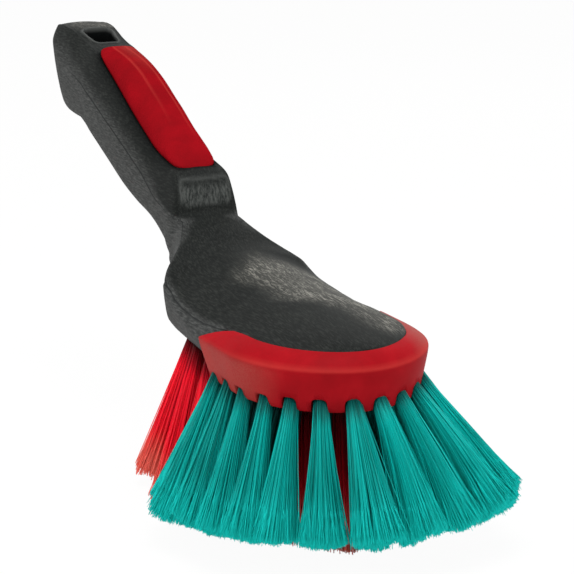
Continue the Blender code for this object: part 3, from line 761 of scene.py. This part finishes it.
# The teal tufts' places, which the skirt's scallops share: distances from the front centre along the
# outline at the given inset.
tealTufts = dict(
    inset=8.0,
    outset=1.6,  # the outer row stands this much further out where it leaves the skirt
    rootZ=-9.4,
    leftPlaces=(6.6, 17.1, 27.1, 37.6, 49.0, 60.0, 70.5, 73.0),
    rightPlaces=(2.2, 11.0, 20.7, 32.0, 44.2, 57.0, 68.6, 72.0),
    lastInset=11.4,  # the last one of a side stands behind the skirt
    leftTips=(
        (-8.6, -19, -59), (-24.8, -8, -60.5), (-38.4, 5, -61), (-46.0, 14, -61.5),
        (-50, 28, -63.5), (-53.5, 44, -65.5), (-56.5, 57.5, -66.4), (-51, 69, -65),
    ),
    rightTips=(
        (11.4, -14, -61), (30.0, -9.5, -60.5), (46, -5.5, -59.7), (56.4, 0.5, -59.5),
        (57.4, 18.5, -61.8), (56.5, 38, -64), (56.5, 51, -65), (51, 65, -65),
    ),
    leftArch=0.4,  # how far the tufts of a side arch upwards halfway down
    rightArch=0.9,
    secondInset=19.0,
    secondLeft=(0, 11.6, 22.4, 30.4, 39.2, 49.0, 58.8),
    secondRight=(0, 9.8, 19.6, 29.4, 39.2, 49.0, 58.8),
    secondLeans=(13, 15, 18, 18, 15, 13, 14),
    secondLength=57,
)


# bumper
frontBumper = dict(
    reach=69.2,
    rearSlant=1.47,
    stations=61,
    straight=9,
    endSlope=0.22,  # its ends slope down to the block's sides
    rightSlope=0.2,  # the right one does so sooner, between two shares of the bend
    rightFrom=(0.45, 0.8),
    # inset from the crease and height, round the section
    section=(
        (8.8, 5.6), (6.3, 4.75), (4.2, 3.6), (2.3, 2.15), (1.15, 1.15), (0.62, 0.66), (0.3, 0.34),
        (0.1, 0.08), (0.0, -0.3), (0.03, -0.75), (0.22, -2.3), (0.72, -4.8), (1.4, -8.0), (2.1, -11.1),
        (2.7, -13.6), (3.05, -14.9), (3.5, -15.5), (4.3, -15.6), (4.9, -15.0), (5.3, -13.0),
        (5.4, -11.6), (3.7, -11.5), (3.6, -7.0), (3.6, -2.6), (9.0, -2.5), (9.05, 4.6),
    ),
    # the slots that the tufts come out of: half width inside and outside, how round the top is, how far
    # each goes past the tufts' row and below the skirt, and the tops' heights, front to side
    scallop=dict(
        inner=2.8, outer=3.05, square=0.62, steps=15, past=2.0, foot=-19,
        tops=(-10.4, -10.4, -10.6, -11.4, -11.6, -11.7, -12.2),
    ),
    crease=0.3,  # how pale the painted highlight on the crease between ledge and skirt is
    bloom=0.5,  # how strong the painted sheen on the left skirt is, and how much more on the right ledge
    rightBloom=1.35,
)


def bumperRings(p):
    # sections round the nose, and straight back from its sides
    count = p["straight"]
    stations = [(-1, 1 - k / count) for k in range(count)]
    stations += [(bend, 0) for bend in np.linspace(-1, 1, p["stations"])]
    stations += [(1, (k + 1) / count) for k in range(count)]
    rings = []
    for bend, straight in stations:
        slope = max(p["endSlope"] * straight, p["rightSlope"] * rise(bend, *p["rightFrom"]))
        ring = []
        for inset, z in p["section"]:
            wide, along = nosePoint(90 * abs(bend), inset)
            end = p["reach"] - p["rearSlant"] * inset
            ring.append((math.copysign(wide, bend), along + (end - along) * straight, z - slope * max(z, 0)))
        rings.append(ring)
    return rings


def scallopCutter(s, tufts):
    slots = bmesh.new()
    for side, places in ((-1, tufts["leftPlaces"]), (1, tufts["rightPlaces"])):
        for place, top in zip(places, s["tops"]):
            point, outward = walkNose(tufts["inset"], place)
            across = Vector((outward.y, -outward.x))
            rings = []
            for out, radius in ((-s["past"], s["inner"]), (tufts["inset"] + s["past"], s["outer"])):
                middle = point + outward * out
                profile = []
                for turn in np.linspace(0, math.pi, s["steps"]):
                    wide = math.copysign(abs(math.cos(turn)) ** s["square"], math.cos(turn))
                    profile.append((wide * radius, top - radius + math.sin(turn) ** s["square"] * radius))
                profile += [(-radius, s["foot"]), (radius, s["foot"])]
                rings.append([(side * (middle.x + across.x * u), middle.y + across.y * u, z) for u, z in profile])
            one = meshFrom(loft(rings), "slot")
            slots.from_mesh(one)
            bpy.data.meshes.remove(one)
    return slots


def buildBumper(p):
    piece = finishPiece("nose_bumper", loft(bumperRings(p)), bumperRed, 32)
    cutFrom(piece, scallopCutter(p["scallop"], tealTufts))
    x, y, z = placesOf(piece)
    # a painted highlight along the crease between ledge and skirt, toward the front
    crease = rise(z, -0.5, 0.2) * rise(z, 1.8, 0.6) * rise(y, 50, 25)
    # painted sheen on the skirt's left end and the ledge's right end
    leftSkirt = rise(-x, 29, 37) * rise(z, 1, -2)
    rightLedge = rise(x, 20, 32) * rise(z, -1, 1.5)
    bloom = np.maximum(leftSkirt, p["rightBloom"] * rightLedge)
    setPoints(piece, ridge=p["crease"] * crease, bloom=p["bloom"] * bloom)
    rideOn(piece, "bumper_rubber", "front_bumper")
    return piece


# the plate under the nose that carries the teal tufts
tuftPlate = dict(inset=3.9, angles=range(0, 91, 5), rear=(35.1, 63.0), levels=(-11.3, -11.1, -3.0, -2.8))


def buildPlate(p):
    half = [nosePoint(angle, p["inset"]) for angle in p["angles"]] + [p["rear"]]
    plan = half + [(-x, y) for x, y in half[1:]][::-1]
    bm = loft([[(x, y, z) for x, y in plan] for z in p["levels"]])
    piece = finishPiece("tuft_plate", bm, charcoal, 30)
    rideOn(piece, "charcoal_plastic", "handle_block")
    return piece


bumper = buildBumper(frontBumper)
plate = buildPlate(tuftPlate)
print("bumper", len(bumper.data.polygons), "faces, plate", len(plate.data.polygons))


# bristles
bristle = dict(
    sides=3,
    cuts=3,
    plug=2.35,  # radius of a tuft at its hole
    sunk=0.8,  # how deep in the plug its filaments start
    radius=(0.17, 0.15),  # a filament is 0.35 mm thick and thins a little toward its split end
    splitRadius=(0.14, 0.09),
    splitFrom=0.78,  # shares of the length between which a split lies
    splitTo=(0.975, 1.008),
    splitReach=0.7,  # how far a split strays from its filament
    fan=0.9,  # below 1 the tips crowd outward
    fanUneven=0.06,
    endUneven=0.35,
    strayReach=(1.1, 1.35),
    clumps=11,  # the ends gather in so many small clumps
    clumpArea=0.85,
    clumpPull=0.1,
    toneUneven=0.085,
    leastTone=0.25,
    ground=(0.1, 1.6),  # where the ends that would go below the ground stop
)
# shade: share of the length that stands in shade; tone: how pale; spread: radius at the tip; flare: how
# late it opens; wave: crimp; uneven, ragged: how much filaments and clumps differ in length; dome: how
# much shorter the outside is; stray: share that sticks out
outerTuft = dict(
    filaments=640, splits=700, thicker=1.0, shade=0.07, tone=0.52, spread=8.9, flare=1.35,
    wave=0.4, uneven=0.006, ragged=0.014, dome=0.03, stray=0.012,
)
frontTuft = dict(outerTuft, spread=9.6, flare=1.15)  # the foremost of each side close the gap between them
endTuft = dict(outerTuft, spread=9.6, flare=1.3, stray=0.0)  # the hindmost of each side splay more
rightChanges = dict(tone=0.79, filaments=740)  # the right side's outer ones are painted paler, as if lit more strongly, and are fuller
secondTuft = dict(
    filaments=260, splits=220, thicker=1.0, shade=0.8, tone=0.52, spread=4.6, flare=1.08,
    wave=0.4, uneven=0.01, ragged=0.012, dome=0.03, stray=0.01,
)
rightSecondTuft = dict(secondTuft, shade=0.3, tone=0.62)  # these show between the outer ones, with less painted shade and a paler tone, as if lit more
innerTuft = dict(
    filaments=480, splits=300, thicker=1.35, shade=0.05, tone=0.66, spread=7.6, flare=1.08,
    wave=0.4, uneven=0.015, ragged=0.015, dome=0.0, stray=0.012,
)
# the red tufts under the nose are darkened with painted shade along most of their length
hiddenTuft = dict(innerTuft, shade=0.75)
redTufts = dict(
    hidden=5,  # the first five stand under the nose, between the teal ones
    liftFrom=115,  # the farther out and back one stands, the higher its tip ends above the ground
    lift=0.4,
    # half spacing across, y, how far the tip goes outward and backward
    places=(
        (0.0, 30.0, 0.0, -3.9), (9.6, 41.1, 1.8, -2.1), (0.0, 51.9, 0.0, 0.0), (9.6, 63.0, 1.8, 0.9),
        (7.5, 75.9, 1.5, 4.5), (19.5, 75.9, 4.8, 4.5), (30.6, 75.9, 9.6, 4.5),
        (7.5, 90.0, 1.5, 10.8), (19.5, 90.0, 4.8, 10.8), (30.0, 90.0, 9.6, 10.8),
        (7.5, 104.1, 1.5, 19.8), (18.9, 104.1, 4.8, 20.4), (27.4, 102.4, 8.8, 22.6),
        (6.9, 117.6, 1.5, 26.4), (17.4, 117.6, 5.4, 27.6),
    ),
)
sideNames = {-1: "left", 0: "middle", 1: "right"}


# Each list below gives a tuft's name, root, tip, kind and how far it arches.
def outerTufts(p):
    found = []
    for side, places, tips, arch in ((-1, p["leftPlaces"], p["leftTips"], p["leftArch"]),
                                     (1, p["rightPlaces"], p["rightTips"], p["rightArch"])):
        for number, (place, tip) in enumerate(zip(places, tips), 1):
            last = number == len(tips)
            point, outward = walkNose(p["lastInset"] if last else p["inset"], place)
            if not last:
                point += outward * p["outset"]
            kind = frontTuft if number == 1 else endTuft if number > 5 else outerTuft
            if side > 0:
                kind = dict(kind, **rightChanges)
            root = Vector((side * point.x, point.y, p["rootZ"]))
            found.append((f"outer_tuft_{sideNames[side]}_{number}", root, Vector(tip), kind, arch))
    return found


def secondTufts(p):
    found = []
    reach = p["secondLength"]
    for side, places in ((1, p["secondRight"]), (-1, p["secondLeft"])):
        for number, (place, lean) in enumerate(zip(places, p["secondLeans"]), 1):
            # the two sides share the first one
            if side < 0 and number == 1:
                continue
            point, outward = walkNose(p["secondInset"], place)
            turn = math.radians(lean)
            end = point + outward * reach * math.sin(turn)
            root = Vector((side * point.x, point.y, p["rootZ"]))
            tip = Vector((side * end.x, end.y, p["rootZ"] - reach * math.cos(turn)))
            name = "middle" if number == 1 else f"{sideNames[side]}_{number}"
            found.append(("second_tuft_" + name, root, tip, rightSecondTuft if root.x > 10 else secondTuft, 0))
    return found


def underside(x, y):
    # height of the block, or of the plate under its nose, where a red tuft comes out
    if y < tuftPlate["rear"][1]:
        return tuftPlate["levels"][0]
    rows = np.array(handleBlock["rows"])
    footZ, footW, underZ, underW = (np.interp(y, rows[:, 0], rows[:, c]) for c in (6, 7, 8, 9))
    return underZ + (footZ - underZ) * max(0, abs(x) - underW) / (footW - underW)


def innerTufts(p):
    found = []
    for number, (x, y, outward, back) in enumerate(p["places"], 1):
        kind = hiddenTuft if number <= p["hidden"] else innerTuft
        tipZ = groundZ + max(0, (x + y - p["liftFrom"]) * p["lift"])
        for side in (1, -1) if x else (0,):
            root = Vector((side * x, y, underside(x, y)))
            tip = Vector((side * (x + outward), y + back, tipZ))
            found.append((f"inner_tuft_{sideNames[side]}_{number}", root, tip, kind, 0))
    return found


def filamentMesh(p):
    # one straight filament: a rod one unit long whose points say where they sit along and around it
    bm = bmesh.new()
    bmesh.ops.create_cone(bm, cap_ends=True, segments=p["sides"], radius1=1, radius2=1, depth=1,
                          matrix=Matrix.Translation((0, 0, 0.5)))
    longEdges = [edge for edge in bm.edges if abs(edge.verts[0].co.z - edge.verts[1].co.z) > 0.5]
    bmesh.ops.subdivide_edges(bm, edges=longEdges, cuts=p["cuts"], use_grid_fill=True)
    return meshFrom(bm, "filament")


filament = filamentMesh(bristle)


def manyFilaments(name, count):
    # a mesh of that many filaments, and its points by filament
    bm = bmesh.new()
    for _ in range(count):
        bm.from_mesh(filament)
    mesh = meshFrom(bm, name)
    co = np.empty(len(mesh.vertices) * 3)
    mesh.vertices.foreach_get("co", co)
    return mesh, co.reshape(count, -1, 3)


def filamentPaths(rng, b, p, reach):
    # each filament's start in the plug, its end in the flared tip, its bow, length and tone
    count = p["filaments"]
    angle = rng.uniform(0, 2 * math.pi, count)
    radius = np.sqrt(rng.uniform(0, 1, count))
    way = np.stack([np.cos(angle), np.sin(angle)], 1)
    start = way * (radius * b["plug"])[:, None]
    flare = rng.normal(1, b["fanUneven"], count)
    strayed = rng.uniform(0, 1, count) < p["stray"]
    flare = np.where(strayed, flare * rng.uniform(*b["strayReach"], count), flare)
    end = way * (radius ** b["fan"] * p["spread"] * flare)[:, None]
    end += rng.normal(0, b["endUneven"], end.shape)
    # each clump is a little longer or shorter than the next
    heart = rng.uniform(-1, 1, (b["clumps"], 2)) * p["spread"] * b["clumpArea"]
    clump = np.argmin(((end[:, None] - heart[None]) ** 2).sum(2), axis=1)
    end += (heart[clump] - end) * b["clumpPull"]
    ragged = rng.normal(0, p["ragged"], b["clumps"])[clump]
    waveWay = rng.uniform(0, 2 * math.pi, count)
    bow = np.stack([np.cos(waveWay), np.sin(waveWay)], 1) * rng.normal(0, p["wave"], count)[:, None]
    length = reach * (1 + p["uneven"] * rng.normal(0, 1, count) + ragged - p["dome"] * radius ** 2)
    tone = np.clip(rng.normal(p["tone"], b["toneUneven"], count), b["leastTone"], 1)
    return start, end, bow, length, tone


def between(pair, share):
    start, end = pair
    return start + (end - start) * share


def buildTuft(node, root, tip, p, arch, material, slot, seed):
    b = bristle
    rng = np.random.default_rng(seed)
    count = p["filaments"] + p["splits"]
    mesh, rod = manyFilaments("bristles_" + node, count)
    up = rod[..., 2]
    # the first ones are whole filaments, and each of the rest splits off one of them
    owner = np.concatenate([np.arange(p["filaments"]), rng.integers(0, p["filaments"], p["splits"])])
    isSplit = np.arange(count)[:, None] >= p["filaments"]
    paths = filamentPaths(rng, b, p, (tip - root).length)
    start, end, bow, length, tone = [each[owner][:, None] for each in paths]
    first = np.where(isSplit, b["splitFrom"], 0.0)
    last = np.where(isSplit, rng.uniform(*b["splitTo"], count)[:, None], 1.0)
    t = between((first, last), up)
    flat = start * (1 - t)[..., None] + end * (t ** p["flare"])[..., None]
    splitWay = rng.normal(0, b["splitReach"], (count, 2)) * isSplit
    flat += splitWay[:, None] * up[..., None] + bow * np.sin(math.pi * t)[..., None]
    thick = np.where(isSplit, between(b["splitRadius"], up), between(b["radius"], t)) * p["thicker"]
    around = np.arctan2(rod[..., 1], rod[..., 0]) + rng.uniform(0, 2 * math.pi, count)[:, None]
    flat += np.stack([np.cos(around), np.sin(around)], 2) * thick[..., None]

    local = np.concatenate([flat, (t * length - b["sunk"])[..., None]], 2)
    turn = np.array((tip - root).to_track_quat("Z", "Y").to_matrix())
    axis = (tip - root).normalized()
    upward = np.array((Vector((0, 0, 1)) - axis * axis.z).normalized())
    points = local @ turn.T + np.array(root) + np.sin(math.pi * t)[..., None] * arch * upward
    # it stands on the ground: whatever would go below is cut level
    ground = groundZ + rng.uniform(*b["ground"], count)[:, None]
    points[..., 2] = np.maximum(points[..., 2], ground)
    points = points.reshape(-1, 3) / 1000 + frameShift
    mesh.vertices.foreach_set("co", points.astype(np.float32).ravel())

    corner = np.empty(len(mesh.loops), np.int32)
    mesh.loops.foreach_get("vertex_index", corner)
    # painted shade: tone 0 is near black, where a tuft stands in shade
    lit = rise(t, -0.15 * p["shade"], p["shade"]) ** 1.6
    strand = np.stack([(tone * lit).ravel(), t.ravel()], 1)[corner]
    mesh.uv_layers.new(name="strand").data.foreach_set("uv", strand.astype(np.float32).ravel())
    mesh.polygons.foreach_set("use_smooth", [True] * len(mesh.polygons))
    mesh.materials.append(material)
    mesh.update()
    piece = addObject(mesh.name, mesh)
    rideOn(piece, slot, node)
    return piece


firstSeed = 11
plans = [plan + (tealBristle, "teal_bristle") for plan in outerTufts(tealTufts) + secondTufts(tealTufts)]
plans += [plan + (redBristle, "red_bristle") for plan in innerTufts(redTufts)]
tufts = [buildTuft(*plan, seed) for seed, plan in enumerate(plans, firstSeed)]
bpy.data.meshes.remove(filament)
print("tufts", len(tufts), "triangles", sum(len(p.data.loops) - 2 * len(p.data.polygons) for p in tufts))
